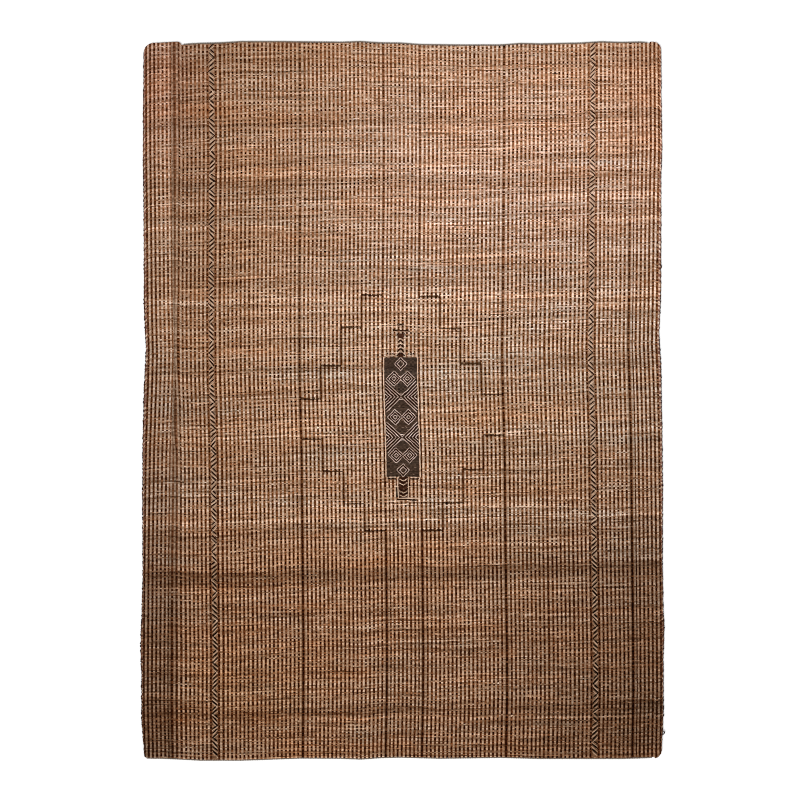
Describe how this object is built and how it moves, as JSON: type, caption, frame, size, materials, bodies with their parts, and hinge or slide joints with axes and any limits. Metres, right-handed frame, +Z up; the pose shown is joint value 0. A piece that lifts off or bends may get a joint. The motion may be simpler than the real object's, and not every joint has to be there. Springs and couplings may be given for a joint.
{
  "type": "jute rug",
  "caption": "Flat hand-woven jute floor rug with raised lengthwise ribs, uneven selvedges, soft corners and a thin cotton cord closing each end.",
  "frame": {"origin": "middle of the underside, on the floor", "axes": "+X across the width to the right, +Y along the length to the far end, +Z up out of the floor"},
  "size_m": [2.458, 3.378, 0.009],
  "materials": {
    "jute_weave": "rough undyed and dark-dyed jute yarn, beaten close, with slubs and loose fibre",
    "taupe_cotton": "matt twisted cotton cord"
  },
  "bodies": {
    "root": {"rug_field": "jute_weave", "end_binding_top": "taupe_cotton", "end_binding_bottom": "taupe_cotton"}
  },
  "joints": []
}
